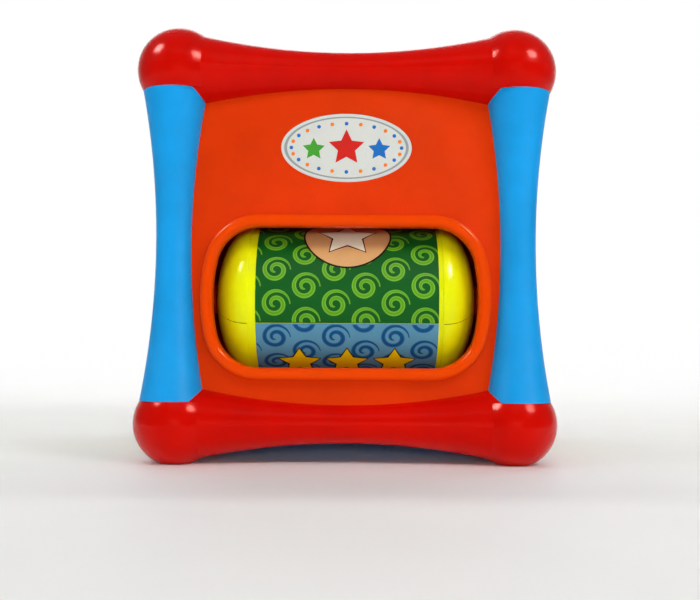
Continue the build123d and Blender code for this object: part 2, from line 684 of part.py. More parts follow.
with BuildPart() as gear_caps:
    for name, teeth, (y, z), phase in GEARS:
        cap_back = Plane((CAP_BACK, y, z), x_dir=(0, 1, 0), z_dir=(1, 0, 0))
        with BuildSketch(cap_back):
            Circle(CAP)
        extrude(amount=CAP_THICKNESS)
    fillet(edges().group_by(Axis.X)[-1], CAP_THICKNESS * 0.6)
    for name, teeth, (y, z), phase in GEARS:
        with BuildSketch(Plane((CAP_BACK, y, z), x_dir=(0, 1, 0), z_dir=(1, 0, 0))):
            Circle(GEAR_PIN)
        extrude(amount=CAP_THICKNESS / 2, mode=Mode.SUBTRACT)
finish(gear_caps, "gear_caps")


# Left face: a mirror behind a hinged door
def left_plane(out, y, z):
    """Plane on the left face, its Z pointing outwards, at a distance out from the cube's centre."""
    return Plane((-out, y, z), x_dir=(0, -1, 0), z_dir=(-1, 0, 0))


with BuildPart() as left_panel:
    upright_blank(LEFT)
    with BuildSketch(left_plane(FACE, 0, MIRROR_Z)):
        Circle(MIRROR)
    extrude(amount=-MIRROR_SINK, mode=Mode.SUBTRACT)
    for side in (-1, 1):
        low = MIRROR_Z + side * (KNUCKLE_HALF + KNUCKLE_GAP) - (0 if side > 0 else END_KNUCKLE)
        with Locations((-(FACE + HINGE_OUT) / 2, HINGE_Y, low + END_KNUCKLE / 2)):
            Box(HINGE_OUT - FACE, 2 * KNUCKLE, END_KNUCKLE)
        tube(-HINGE_OUT, HINGE_Y, low, low + END_KNUCKLE, KNUCKLE)
        tube(-HINGE_OUT, HINGE_Y, low, low + END_KNUCKLE, HINGE_PIN, mode=Mode.SUBTRACT)
finish(left_panel, "left_panel")

with BuildPart() as mirror_disc:
    with BuildSketch(left_plane(FACE - MIRROR_SINK, 0, MIRROR_Z)):
        Circle(MIRROR - SLOT_GAP)
    extrude(amount=MIRROR_THICKNESS)
finish(mirror_disc, "mirror_disc")

with BuildPart() as mirror_bezel:
    with BuildSketch(left_plane(FACE, 0, MIRROR_Z)):
        Circle(BEZEL_OUT)
        Circle(MIRROR, mode=Mode.SUBTRACT)
    extrude(amount=BEZEL_PROUD)
    with BuildSketch(left_plane(FACE - MIRROR_SINK + MIRROR_THICKNESS, 0, MIRROR_Z)):
        Circle(BEZEL_OUT)
        Circle(BEZEL_IN, mode=Mode.SUBTRACT)
    extrude(amount=BEZEL_PROUD + MIRROR_SINK - MIRROR_THICKNESS)
    fillet(edges().group_by(Axis.X)[0], BEZEL_ROUND)
finish(mirror_bezel, "mirror_bezel")

with BuildPart() as door:
    with BuildSketch(left_plane(DOOR_BACK, 0, MIRROR_Z)):
        RectangleRounded(2 * DOOR_HALF_Y, 2 * DOOR_HALF_Z, DOOR_CORNER)
        with Locations(((DOOR_HALF_Y - HINGE_Y) / 2, 0)):
            Rectangle(-HINGE_Y - DOOR_HALF_Y, 2 * KNUCKLE_HALF)
    extrude(amount=DOOR_THICKNESS)
    fillet(edges().group_by(Axis.X)[0], DOOR_ROUND)
    tube(-HINGE_OUT, HINGE_Y, MIRROR_Z - KNUCKLE_HALF, MIRROR_Z + KNUCKLE_HALF, KNUCKLE)
    tube(
        -HINGE_OUT,
        HINGE_Y,
        MIRROR_Z - KNUCKLE_HALF,
        MIRROR_Z + KNUCKLE_HALF,
        HINGE_PIN + RUNNING_GAP,
        mode=Mode.SUBTRACT,
    )
    with BuildSketch(left_plane(DOOR_BACK, KNOB_Y, MIRROR_Z)):
        Circle(KNOB_PEG)
    extrude(amount=DOOR_THICKNESS, mode=Mode.SUBTRACT)
finish(door, "door")

with BuildPart() as door_knob:
    with BuildSketch(left_plane(DOOR_BACK, KNOB_Y, MIRROR_Z)):
        Circle(KNOB_PEG)
    extrude(amount=DOOR_THICKNESS)
    with BuildSketch(left_plane(DOOR_BACK + DOOR_THICKNESS, KNOB_Y, MIRROR_Z)):
        Circle(KNOB)
    extrude(amount=KNOB_LENGTH)
    fillet(edges().group_by(Axis.X)[0], KNOB_ROUND)
finish(door_knob, "door_knob")

HINGE_HALF = KNUCKLE_HALF + KNUCKLE_GAP + END_KNUCKLE
with BuildPart() as hinge_pin:
    tube(-HINGE_OUT, HINGE_Y, MIRROR_Z - HINGE_HALF, MIRROR_Z + HINGE_HALF, HINGE_PIN)
finish(hinge_pin, "hinge_pin")

# Back face: a bead on each of three rods
ROD_HEIGHTS = [CUBE_Z + ROD_RISE, CUBE_Z, CUBE_Z - ROD_RISE]
with BuildPart() as back_panel:
    upright_blank(BACK)
    for x in (-RACK_END_X, RACK_END_X):
        for dz in (-RACK_SCREW_RISE, RACK_SCREW_RISE):
            with BuildSketch(Plane((x, INSIDE, CUBE_Z + dz), x_dir=(-1, 0, 0), z_dir=(0, 1, 0))):
                Circle(SHANK_HOLE)
            extrude(amount=PANEL, mode=Mode.SUBTRACT)
finish(back_panel, "back_panel")

with BuildPart() as bead_rods:
    for z in ROD_HEIGHTS:
        with BuildSketch(Plane((0, ROD_Y, z), x_dir=(0, 1, 0), z_dir=(1, 0, 0))):
            Circle(ROD)
        extrude(amount=ROD_HALF, both=True)
finish(bead_rods, "bead_rods")

with BuildPart() as rack_ends:
    for x in (-RACK_END_X, RACK_END_X):
        with Locations((x, FACE + RACK_END_DEPTH / 2, CUBE_Z)):
            Box(RACK_END_WIDTH, RACK_END_DEPTH, 2 * RACK_END_HALF_Z)
    fillet(edges().filter_by(Axis.X).group_by(Axis.Y)[-1], RACK_END_CORNER)
    fillet(edges().group_by(Axis.Y)[-1], RACK_END_ROUND)
    add(bead_rods.part, mode=Mode.SUBTRACT)
    for x in (-RACK_END_X, RACK_END_X):
        for dz in (-RACK_SCREW_RISE, RACK_SCREW_RISE):
            with BuildSketch(Plane((x, FACE, CUBE_Z + dz), x_dir=(-1, 0, 0), z_dir=(0, 1, 0))):
                Circle(SHANK)
            extrude(amount=RACK_SCREW - PANEL + PILOT_SPARE, mode=Mode.SUBTRACT)
finish(rack_ends, "rack_ends")

with BuildPart() as rack_screws:
    for x in (-RACK_END_X, RACK_END_X):
        for dz in (-RACK_SCREW_RISE, RACK_SCREW_RISE):
            screw(Plane((x, INSIDE, CUBE_Z + dz), x_dir=(-1, 0, 0), z_dir=(0, 1, 0)), RACK_SCREW)
finish(rack_screws, "rack_screws")


def bead_bore(plane):
    """Running bore for a rod, cut from the bead in hand."""
    with BuildSketch(plane) as bore:
        Circle(ROD + RUNNING_GAP)
    extrude(bore.sketch, amount=2 * BEAD, both=True, mode=Mode.SUBTRACT)


BEAD_PLANES = [
    Plane((x, ROD_Y, z), x_dir=(0, 1, 0), z_dir=(1, 0, 0))
    for x, z in zip(BEADS_AT, ROD_HEIGHTS, strict=True)
]

with BuildPart() as bead_ball:
    with BuildSketch(Plane(BEAD_PLANES[0].origin, x_dir=(1, 0, 0), z_dir=(0, -1, 0))):
        Circle(BEAD)
        with Locations((0, ROD + RUNNING_GAP - BEAD)):
            Rectangle(2 * BEAD, 2 * BEAD, mode=Mode.SUBTRACT)
    revolve(axis=Axis(BEAD_PLANES[0].origin, (1, 0, 0)))
finish(bead_ball, "bead_ball")

with BuildPart() as bead_barrel:
    with BuildSketch(BEAD_PLANES[1]):
        Circle(BEAD)
    extrude(amount=BEAD, both=True)
    fillet(edges(), BARREL_ROUND)
    bead_bore(BEAD_PLANES[1])
finish(bead_barrel, "bead_barrel")

with BuildPart() as bead_flower:
    with BuildSketch(BEAD_PLANES[2]):
        with PolarLocations(BEAD - PETAL, PETALS):
            Circle(PETAL)
        Circle(FLOWER_HEART)
    extrude(amount=FLOWER_HALF, both=True)
    bead_bore(BEAD_PLANES[2])
finish(bead_flower, "bead_flower")

# Top face: a push button over a squeaking bellows
TOP_UNDER = TOP_BALL_Z - PANEL / 2
CUP_BASE = TOP_UNDER - CUP_DEPTH
EAR_TOP = TOP_UNDER - CUP_SCREW_BOSS
CUP_SCREWS = [stepped((0, 0), CUP_SCREW_RING, degrees) for degrees in CUP_SCREWS_DEG]

with BuildPart() as top_panel:
    level_blank(TOP)
    with BuildSketch(TOP):
        Circle(BUTTON_HOLE)
    extrude(amount=PANEL, both=True, mode=Mode.SUBTRACT)
    with BuildSketch(TOP.offset(PANEL / 2)):
        Circle(BUTTON_HOLE + BUTTON_RING)
        Circle(BUTTON_HOLE, mode=Mode.SUBTRACT)
    extrude(amount=BUTTON_RING_PROUD)
    fillet(edges().group_by(Axis.Z)[-1], BUTTON_RING_ROUND)
    for x, y in CUP_SCREWS:
        tube(x, y, EAR_TOP, TOP_UNDER, TAB, SHANK)
finish(top_panel, "top_panel")

with BuildPart() as push_button:
    with BuildSketch(Plane.XZ):
        with BuildLine():
            Polyline(
                (BUTTON_STEM, BUTTON_STEM_END),
                (0, BUTTON_STEM_END),
                (0, BUTTON_SIDE_TOP + BUTTON_DOME),
            )
            dome_bulge = (BUTTON * 0.6, BUTTON_SIDE_TOP + BUTTON_DOME * 0.72)
            ThreePointArc((0, BUTTON_SIDE_TOP + BUTTON_DOME), dome_bulge, (BUTTON, BUTTON_SIDE_TOP))
            Polyline(
                (BUTTON, BUTTON_SIDE_TOP),
                (BUTTON, FLANGE_TOP),
                (BUTTON_FLANGE, FLANGE_TOP),
                (BUTTON_FLANGE, FLANGE_TOP - FLANGE_THICKNESS),
                (BUTTON - WALL, FLANGE_TOP - FLANGE_THICKNESS),
                (BUTTON - WALL, BUTTON_SIDE_TOP - WALL),
                (BUTTON_STEM, BUTTON_SIDE_TOP - WALL + BUTTON_ROOF_RISE),
                (BUTTON_STEM, BUTTON_STEM_END),
            )
        make_face()
    revolve(axis=Axis.Z)
finish(push_button, "push_button")

with BuildPart() as button_cup:
    tube(0, 0, CUP_BASE, TOP_UNDER, CUP_OUT)
    for x, y in CUP_SCREWS:
        tube(x, y, EAR_TOP - EAR_THICKNESS, EAR_TOP, EAR)
    for degrees in CUP_SCREWS_DEG:
        along = radians(degrees)
        middle = stepped((0, 0), (CUP_SCREW_RING + CUP_IN) / 2, degrees)
        with BuildSketch(
            Plane((*middle, EAR_TOP - EAR_THICKNESS), x_dir=(cos(along), sin(along), 0), z_dir=(0, 0, 1))
        ):
            Rectangle(CUP_SCREW_RING - CUP_IN, 2 * EAR)
        extrude(amount=EAR_THICKNESS)
    tube(0, 0, CUP_BASE + CUP_FLOOR, TOP_UNDER, CUP_IN, mode=Mode.SUBTRACT)
    tube(0, 0, CUP_BASE, CUP_BASE + CUP_FLOOR, REED, mode=Mode.SUBTRACT)
    for x, y in CUP_SCREWS:
        tube(x, y, EAR_TOP - EAR_THICKNESS, EAR_TOP, SHANK_HOLE, mode=Mode.SUBTRACT)
finish(button_cup, "button_cup")

with BuildPart() as button_screws:
    for x, y in CUP_SCREWS:
        screw(Plane((x, y, EAR_TOP - EAR_THICKNESS), x_dir=(1, 0, 0), z_dir=(0, 0, 1)), CUP_SCREW)
finish(button_screws, "button_screws")

BELLOWS_BASE = CUP_BASE + CUP_FLOOR
BELLOWS_HEIGHT = BUTTON_STEM_END - BELLOWS_BASE


def bellows_wall(radius):
    """Zigzag side of the bellows, from its foot to its top."""
    rise = BELLOWS_HEIGHT / (2 * BELLOWS_FOLDS)
    return [
        (radius - BELLOWS_FOLD * (step % 2), BELLOWS_BASE + rise * step)
        for step in range(2 * BELLOWS_FOLDS + 1)
    ]


with BuildPart() as squeaker_bellows:
    with BuildSketch(Plane.XZ):
        with BuildLine():
            Polyline((0, BELLOWS_BASE), *bellows_wall(BELLOWS), (0, BUTTON_STEM_END), close=True)
        make_face()
        with BuildLine():
            inner = bellows_wall(BELLOWS - BELLOWS_WALL)[:-1]
            roof = (inner[-1][0], BUTTON_STEM_END - BELLOWS_WALL)
            Polyline((0, BELLOWS_BASE), *inner, roof, (0, roof[1]), close=True)
        make_face(mode=Mode.SUBTRACT)
    revolve(axis=Axis.Z)
finish(squeaker_bellows, "squeaker_bellows")

with BuildPart() as squeaker_reed:
    tube(0, 0, CUP_BASE, CUP_BASE + CUP_FLOOR, REED, REED_HOLE)
finish(squeaker_reed, "squeaker_reed")

# Bottom face: a plain panel with a pressed ring that stiffens it
with BuildPart() as bottom_panel:
    level_blank(BOTTOM)
    ring_low = LOW_BALL_Z - PANEL / 2 - BOTTOM_RING_PROUD
    tube(0, 0, ring_low, LOW_BALL_Z, BOTTOM_RING_OUT, BOTTOM_RING_IN)
finish(bottom_panel, "bottom_panel")
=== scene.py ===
"""Looks of the baby activity cube: materials, prints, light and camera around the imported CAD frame.

Metres, +Z up, the front towards -Y, as in the frame.
"""

import json
from math import cos, hypot, pi, radians, sin

import bmesh
import bpy
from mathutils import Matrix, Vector


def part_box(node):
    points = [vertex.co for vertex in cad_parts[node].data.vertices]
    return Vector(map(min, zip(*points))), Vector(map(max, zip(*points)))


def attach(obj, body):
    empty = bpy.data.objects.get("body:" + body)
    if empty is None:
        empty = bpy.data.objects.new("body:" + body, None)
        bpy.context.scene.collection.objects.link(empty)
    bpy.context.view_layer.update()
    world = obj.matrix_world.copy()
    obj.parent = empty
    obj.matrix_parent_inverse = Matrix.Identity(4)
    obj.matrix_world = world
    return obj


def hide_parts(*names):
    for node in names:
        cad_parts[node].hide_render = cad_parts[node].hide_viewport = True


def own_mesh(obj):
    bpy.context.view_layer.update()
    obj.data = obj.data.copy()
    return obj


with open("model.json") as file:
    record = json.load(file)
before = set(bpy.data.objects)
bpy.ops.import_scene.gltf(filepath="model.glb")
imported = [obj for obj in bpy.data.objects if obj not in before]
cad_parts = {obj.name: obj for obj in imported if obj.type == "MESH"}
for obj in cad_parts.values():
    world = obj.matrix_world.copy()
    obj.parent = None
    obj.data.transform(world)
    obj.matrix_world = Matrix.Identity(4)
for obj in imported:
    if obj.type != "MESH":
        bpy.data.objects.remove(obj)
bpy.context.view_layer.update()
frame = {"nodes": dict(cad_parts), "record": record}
nodes = frame["nodes"]

MM = 0.001
FRAME_BODY = "cube_frame"


def middle(node):
    """Centre of a CAD node's box."""
    low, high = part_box(node)
    return (low + high) / 2


# ---------------------------------------------------------------- colours


def srgb(red, green, blue):
    """Linear colour from 0-255 display values."""

    def linear(value):
        share = value / 255
        return share / 12.92 if share <= 0.04045 else ((share + 0.055) / 1.055) ** 2.4

    return (linear(red), linear(green), linear(blue), 1.0)


def shade(colour, factor):
    """The same colour, lighter or darker."""
    return tuple(min(1.0, part * factor) for part in colour[:3]) + (1.0,)


# ---------------------------------------------------------------- node helpers


class Shader:
    """A material's node tree, with short calls for the nodes that these materials share."""

    def __init__(self, name):
        self.material = bpy.data.materials.new(name)
        self.material.use_nodes = True
        self.tree = self.material.node_tree
        self.surface = self.tree.nodes["Principled BSDF"]
        self.place = self.node("ShaderNodeTexCoord").outputs["Object"]

    def node(self, kind, **settings):
        made = self.tree.nodes.new(kind)
        for key, value in settings.items():
            setattr(made, key, value)
        return made

    def link(self, source, target):
        self.tree.links.new(source, target)

    def stretched(self, scale):
        """Object coordinates stretched per axis, for brushed or scratched textures."""
        mapping = self.node("ShaderNodeMapping")
        mapping.inputs["Scale"].default_value = scale
        self.link(self.place, mapping.inputs["Vector"])
        return mapping.outputs["Vector"]

    def noise(self, scale, detail=3.0, roughness=0.55, vector=None):
        made = self.node("ShaderNodeTexNoise")
        made.inputs["Scale"].default_value = scale
        made.inputs["Detail"].default_value = detail
        made.inputs["Roughness"].default_value = roughness
        self.link(vector or self.place, made.inputs["Vector"])
        return made.outputs["Fac"]

    def ramp(self, value, low, high, start=0.0, end=1.0):
        """Value mapped from low..high to start..end, clamped."""
        made = self.node("ShaderNodeMapRange")
        made.inputs["From Min"].default_value = low
        made.inputs["From Max"].default_value = high
        made.inputs["To Min"].default_value = start
        made.inputs["To Max"].default_value = end
        self.link(value, made.inputs["Value"])
        return made.outputs["Result"]

    def mix(self, share, first, second):
        """Colour mix: first where share is 0, second where it is 1."""
        made = self.node("ShaderNodeMix", data_type="RGBA")
        self.link(share, made.inputs["Factor"])
        for socket, colour in ((made.inputs[6], first), (made.inputs[7], second)):
            if isinstance(colour, tuple):
                socket.default_value = colour
            else:
                self.link(colour, socket)
        return made.outputs[2]

    def multiply(self, first, second):
        made = self.node("ShaderNodeMath", operation="MULTIPLY")
        self.link(first, made.inputs[0])
        self.link(second, made.inputs[1])
        return made.outputs[0]

    def bump(self, heights):
        """Bump from (height, strength, distance) layers, chained."""
        normal = None
        for height, strength, distance in heights:
            made = self.node("ShaderNodeBump")
            made.inputs["Strength"].default_value = strength
            made.inputs["Distance"].default_value = distance
            self.link(height, made.inputs["Height"])
            if normal:
                self.link(normal, made.inputs["Normal"])
            normal = made.outputs["Normal"]
        self.link(normal, self.surface.inputs["Normal"])

    def set(self, **values):
        for key, value in values.items():
            self.surface.inputs[key.replace("_", " ")].default_value = value


# Noise scales of the plastics' and the prints' textures, in cycles a metre
FLOW_MARKS = 38
SPECKS = 1900
SCRATCHES = 300
SCUFF_MARKS = 64
GLOSS_PATCHES = 120
FINE_GRAIN = 3200
SINK_MARKS = 70
INK_PATCHES = 150
DOT_SCREEN = 5200
HANDLING_MARKS = 90
FILM_WAVES = 420

SCUFF_COLOUR = srgb(24, 40, 66)
RIM_EDGE = 0.0004  # metres over which a polished rim's look sets in


def moulded_plastic(
    name, colour, roughness=0.3, specular=0.3, scuffs=0.0, grain=0.25, tint=None, polished_rim_with_painted_light=None
):
    """Injection-moulded plastic: faint flow marks, fine grain, dust specks, hairline scratches and scuffs.

    What stands further forward than a glossy rim's base, given as (y, colour, gloss factor), has more
    gloss and that colour, a lighter one that is painted light on the rim's rounding.
    """
    shader = Shader(name)
    flow = shader.ramp(shader.noise(FLOW_MARKS, 4, 0.6), 0.3, 0.7)
    tone = shader.mix(flow, shade(colour, 0.91), shade(colour, 1.07))
    specks = shader.ramp(shader.noise(SPECKS, 1, 0.4), 0.72, 0.78)
    speck_share = shader.multiply(specks, shader.ramp(flow, 0, 1, 0.15, 0.4))
    tone = shader.mix(speck_share, tone, shade(colour, 0.55))
    drawn_out = shader.stretched((1.0, 1.0, 0.07))
    hairlines = shader.ramp(shader.noise(SCRATCHES, 2, 0.7, drawn_out), 0.66, 0.70)
    if scuffs:
        smeared = shader.stretched((1.3, 1.3, 0.8))
        marks = shader.ramp(shader.noise(SCUFF_MARKS, 5, 0.75, smeared), 0.735, 0.76, 0, scuffs)
        tone = shader.mix(marks, tone, SCUFF_COLOUR)
    patches = shader.noise(GLOSS_PATCHES, 3, 0.6)
    gloss = shader.ramp(patches, 0.25, 0.75, roughness - 0.05, roughness + 0.07)
    # A rim in front of its base gets more gloss and a lighter colour; the lighter colour is painted light
    # on its rounding
    if polished_rim_with_painted_light:
        base_y, rim_painted_light_colour, rim_gloss = polished_rim_with_painted_light
        axes = shader.node("ShaderNodeSeparateXYZ")
        shader.link(shader.place, axes.inputs["Vector"])
        forward = shader.ramp(axes.outputs["Y"], base_y - RIM_EDGE, base_y, 1.0, 0.0)
        tone = shader.mix(forward, tone, rim_painted_light_colour)
        gloss = shader.multiply(gloss, shader.ramp(forward, 0.0, 1.0, 1.0, rim_gloss))
    shader.link(tone, shader.surface.inputs["Base Color"])
    shader.link(gloss, shader.surface.inputs["Roughness"])
    shader.set(Specular_IOR_Level=specular)
    if tint:
        shader.set(Specular_Tint=(*tint, 1.0))
    shader.bump(
        [
            (shader.noise(FINE_GRAIN, 2, 0.5), grain, 0.00002),
            (shader.noise(SINK_MARKS, 2, 0.5), 0.12, 0.0004),
            (hairlines, 0.10, 0.00003),
        ]
    )
    return shader.material


def printed_film(name, colour):
    """Laminated print: slightly uneven ink, a fine dot screen and a glossy film with handling marks."""
    shader = Shader(name)
    ink = shader.ramp(shader.noise(INK_PATCHES, 4, 0.6), 0.3, 0.7)
    tone = shader.mix(ink, shade(colour, 0.93), shade(colour, 1.06))
    screen = shader.ramp(shader.noise(DOT_SCREEN, 1, 0.5), 0.42, 0.62)
    tone = shader.mix(shader.multiply(screen, ink), tone, shade(colour, 0.84))
    shader.link(tone, shader.surface.inputs["Base Color"])
    gloss = shader.ramp(shader.noise(HANDLING_MARKS, 3, 0.6), 0.3, 0.7, 0.27, 0.4)
    shader.link(gloss, shader.surface.inputs["Roughness"])
    shader.set(Specular_IOR_Level=0.14)
    shader.bump([(shader.noise(FILM_WAVES, 2, 0.5), 0.10, 0.00005)])
    return shader.material


def plated_steel(name, colour, brushed):
    """Zinc-plated steel, brushed along one axis, with dull spots."""
    shader = Shader(name)
    lines = shader.noise(900, 3, 0.6, shader.stretched(brushed))
    spots = shader.ramp(shader.noise(260, 3, 0.6), 0.35, 0.7)
    tone = shader.mix(spots, shade(colour, 0.82), shade(colour, 1.08))
    shader.link(tone, shader.surface.inputs["Base Color"])
    shader.link(shader.ramp(lines, 0.3, 0.7, 0.22, 0.42), shader.surface.inputs["Roughness"])
    shader.set(Metallic=1.0)
    shader.bump([(lines, 0.18, 0.00003)])
    return shader.material


def mirror_film(name):
    """Metallised acrylic mirror: slightly wavy, with fingerprints."""
    shader = Shader(name)
    smudge = shader.ramp(shader.noise(75, 5, 0.65), 0.52, 0.78)
    tone = shader.mix(smudge, srgb(232, 236, 238), srgb(218, 223, 226))
    shader.link(tone, shader.surface.inputs["Base Color"])
    shader.link(shader.ramp(smudge, 0, 1, 0.02, 0.09), shader.surface.inputs["Roughness"])
    shader.set(Metallic=1.0)
    shader.bump([(shader.noise(22, 1, 0.4), 0.03, 0.0006)])
    return shader.material


def soft_rubber(name, colour):
    """Matt rubber with talc bloom."""
    shader = Shader(name)
    bloom = shader.ramp(shader.noise(180, 4, 0.65), 0.4, 0.7)
    tone = shader.mix(bloom, colour, shade(colour, 1.35))
    shader.link(tone, shader.surface.inputs["Base Color"])
    shader.link(shader.ramp(bloom, 0, 1, 0.62, 0.85), shader.surface.inputs["Roughness"])
    shader.set(Specular_IOR_Level=0.3)
    shader.bump([(shader.noise(1500, 2, 0.5), 0.2, 0.00005)])
    return shader.material


RED = srgb(202, 10, 2)
BLUE = srgb(8, 154, 226)
ORANGE = srgb(218, 52, 1)
YELLOW = srgb(240, 214, 12)
# LEMON is the drum's yellow, greener than YELLOW, and lighter as painted light for the drum, which sits
# back in the window's shade
LEMON = srgb(234, 240, 10)
LIME = srgb(128, 196, 30)
YELLOW_TINT = (1.0, 1.0, 0.5)
ORANGE_TINT = (1.0, 0.5, 0.25)

# One moulded plastic a line: colour, roughness, specular level, and what else is not as usual
PLASTICS = {
    "red_plastic": (RED, 0.13, 0.3, {"grain": 0.12, "tint": (1.0, 0.25, 0.2)}),
    "blue_plastic": (BLUE, 0.4, 0.16, {"scuffs": 0.8, "grain": 0.35}),
    "orange_plastic": (ORANGE, 0.2, 0.22, {"grain": 0.3, "tint": (1.0, 0.35, 0.1)}),
    "yellow_plastic": (YELLOW, 0.17, 0.25, {"grain": 0.1, "tint": YELLOW_TINT}),
    "green_plastic": (LIME, 0.34, 0.3, {"grain": 0.35}),
    "gear_red_plastic": (srgb(214, 22, 22), 0.26, 0.24, {"grain": 0.12}),
    "gear_blue_plastic": (srgb(24, 118, 206), 0.26, 0.24, {"grain": 0.12}),
    "gear_green_plastic": (srgb(66, 168, 44), 0.26, 0.24, {"grain": 0.12}),
    "white_plastic": (srgb(230, 230, 224), 0.32, 0.35, {}),
    "bead_plastic": (srgb(236, 236, 230), 0.25, 0.4, {}),
    "bezel_plastic": (YELLOW, 0.22, 0.22, {"grain": 0.1, "tint": YELLOW_TINT}),
    "door_plastic": (srgb(240, 104, 12), 0.28, 0.18, {"grain": 0.15, "tint": ORANGE_TINT}),
    "reed_plastic": (srgb(224, 222, 214), 0.5, 0.3, {}),
    "bottom_plastic": (srgb(24, 118, 206), 0.48, 0.3, {"grain": 0.6}),
}
MATERIALS = {
    name: moulded_plastic(name, *values, **extras) for name, (*values, extras) in PLASTICS.items()
}
MATERIALS["zinc_steel"] = plated_steel("zinc_steel", srgb(198, 200, 206), (0.05, 1.0, 1.0))
MATERIALS["mirror_film"] = mirror_film("mirror_film")
MATERIALS["bellows_rubber"] = soft_rubber("bellows_rubber", srgb(170, 166, 156))
for name, colour in (
    ("badge_print", srgb(214, 217, 210)),
    ("green_label", srgb(10, 92, 26)),
    ("blue_label", srgb(90, 151, 180)),
):
    MATERIALS[name] = printed_film(name, colour)

# The front panel is satin, with a glossy rim round its window whose lighter colour is painted light on the
# rim's rounding, and the drum's yellow is a greener one, lighter too: painted light for the drum, which
# sits back in the window's shade
RIM_PROUD = 4.0 * MM
RIM_FOOT = 0.2 * MM
rim_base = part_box("front_panel")[0].y + RIM_PROUD - RIM_FOOT
# A lighter copy of the drum's yellow: painted light for the drum in the window's shade
drum_yellow_with_painted_light = moulded_plastic("drum_yellow_with_painted_light", LEMON, 0.17, 0.25, grain=0.1, tint=YELLOW_TINT)
# The rim's lighter orange is painted light on its rounding
rim_gloss_and_painted_light = (rim_base, srgb(233, 68, 2), 0.26)
NODE_MATERIALS = {
    "front_panel": moulded_plastic(
        "front_plastic", ORANGE, 0.42, 0.2, grain=0.7, tint=ORANGE_TINT, polished_rim_with_painted_light=rim_gloss_and_painted_light
    ),
    "drum_shell_upper": drum_yellow_with_painted_light,
    "drum_shell_lower": drum_yellow_with_painted_light,
}

for entry in frame["record"]["subparts"]:
    cad = nodes[entry["node"]]
    cad.data.materials.clear()
    cad.data.materials.append(NODE_MATERIALS.get(entry["node"], MATERIALS[entry["material_slot"]]))

INK_COLOURS = {
    "swirl_green": (114, 182, 50),
    "swirl_lime": (96, 162, 18),
    "swirl_blue": (26, 94, 147),
    "swirl_navy": (15, 77, 128),
    "outline": (22, 14, 12),
    # The disc's own brown, lightened: painted light making up for the shadow the window's rim casts on the
    # drum
    "brown": (220, 168, 110),
    "seam": (120, 106, 8),
    "cream": (244, 240, 212),
    "white": (236, 244, 232),
    "yellow": (250, 212, 12),
    "red": (208, 36, 28),
    "blue": (30, 110, 190),
    "green": (70, 160, 50),
    "orange": (240, 120, 20),
    "grey": (150, 158, 156),
}
INKS = {name: printed_film(f"ink_{name}", srgb(*colour)) for name, colour in INK_COLOURS.items()}

# ---------------------------------------------------------------- flat outlines, in millimetres


def ring_points(radius_x, radius_y, count, start=0.0):
    """Points of an ellipse round the origin."""
    return [
        (radius_x * cos(start + 2 * pi * step / count), radius_y * sin(start + 2 * pi * step / count))
        for step in range(count)
    ]


def moved(points, centre, turn=0.0, scale=1.0):
    """Points scaled, turned and moved to a centre."""
    return [
        (
            centre[0] + scale * (u * cos(turn) - v * sin(turn)),
            centre[1] + scale * (u * sin(turn) + v * cos(turn)),
        )
        for u, v in points
    ]


def lobed_points(radius, depth, lobes, count=96):
    """A round outline with rounded lobes, such as a flower."""
    outline = []
    for step in range(count):
        turn = 2 * pi * step / count
        reach = radius * (1 + depth * cos(lobes * turn))
        outline.append((reach * cos(turn), reach * sin(turn)))
    return outline


def dense(points, step):
    """A closed outline with its long sides divided."""
    result = []
    for index, first in enumerate(points):
        second = points[(index + 1) % len(points)]
        parts = max(1, round(hypot(second[0] - first[0], second[1] - first[1]) / step))
        for part in range(parts):
            share = part / parts
            result.append(
                (first[0] + (second[0] - first[0]) * share, first[1] + (second[1] - first[1]) * share)
            )
    return result


def star_points(points, outer, inner):
    """A pointed star."""
    corners = []
    for step in range(2 * points):
        radius = outer if step % 2 == 0 else inner
        angle = pi / 2 + pi * step / points
        corners.append((radius * cos(angle), radius * sin(angle)))
    return dense(corners, 1.0)


# ---------------------------------------------------------------- flat meshes, then laid on a surface

CELL = 1.3  # longest side of a print's mesh cell, so that it follows the drum


def add_filled(mesh, outline, centre):
    """An outline that is star-shaped about its centre, filled by rings of cells."""
    reach = max(hypot(u - centre[0], v - centre[1]) for u, v in outline)
    rings = max(1, round(reach / CELL))
    middle_vertex = mesh.verts.new((*centre, 0))
    inner = None
    for ring in range(1, rings + 1):
        share = ring / rings
        current = [
            mesh.verts.new((centre[0] + (u - centre[0]) * share, centre[1] + (v - centre[1]) * share, 0))
            for u, v in outline
        ]
        for index, vertex in enumerate(current):
            following = current[(index + 1) % len(current)]
            if inner is None:
                mesh.faces.new((middle_vertex, vertex, following))
            else:
                mesh.faces.new((inner[index], vertex, following, inner[(index + 1) % len(inner)]))
        inner = current


def add_band(mesh, outline, centre, inner_share):
    """A closed band between an outline and a smaller copy of it."""
    outer = [mesh.verts.new((u, v, 0)) for u, v in outline]
    inner = [
        mesh.verts.new(
            (centre[0] + (u - centre[0]) * inner_share, centre[1] + (v - centre[1]) * inner_share, 0)
        )
        for u, v in outline
    ]
    for index, vertex in enumerate(outer):
        following = (index + 1) % len(outer)
        mesh.faces.new((inner[index], vertex, outer[following], inner[following]))


SWIRL_RADIUS = 5.8
SWIRL_INNER = 1.0
SWIRL_TURNS = 1.75
SWIRL_HALF_WIDTH = 0.95
SWIRL_STEPS = 48


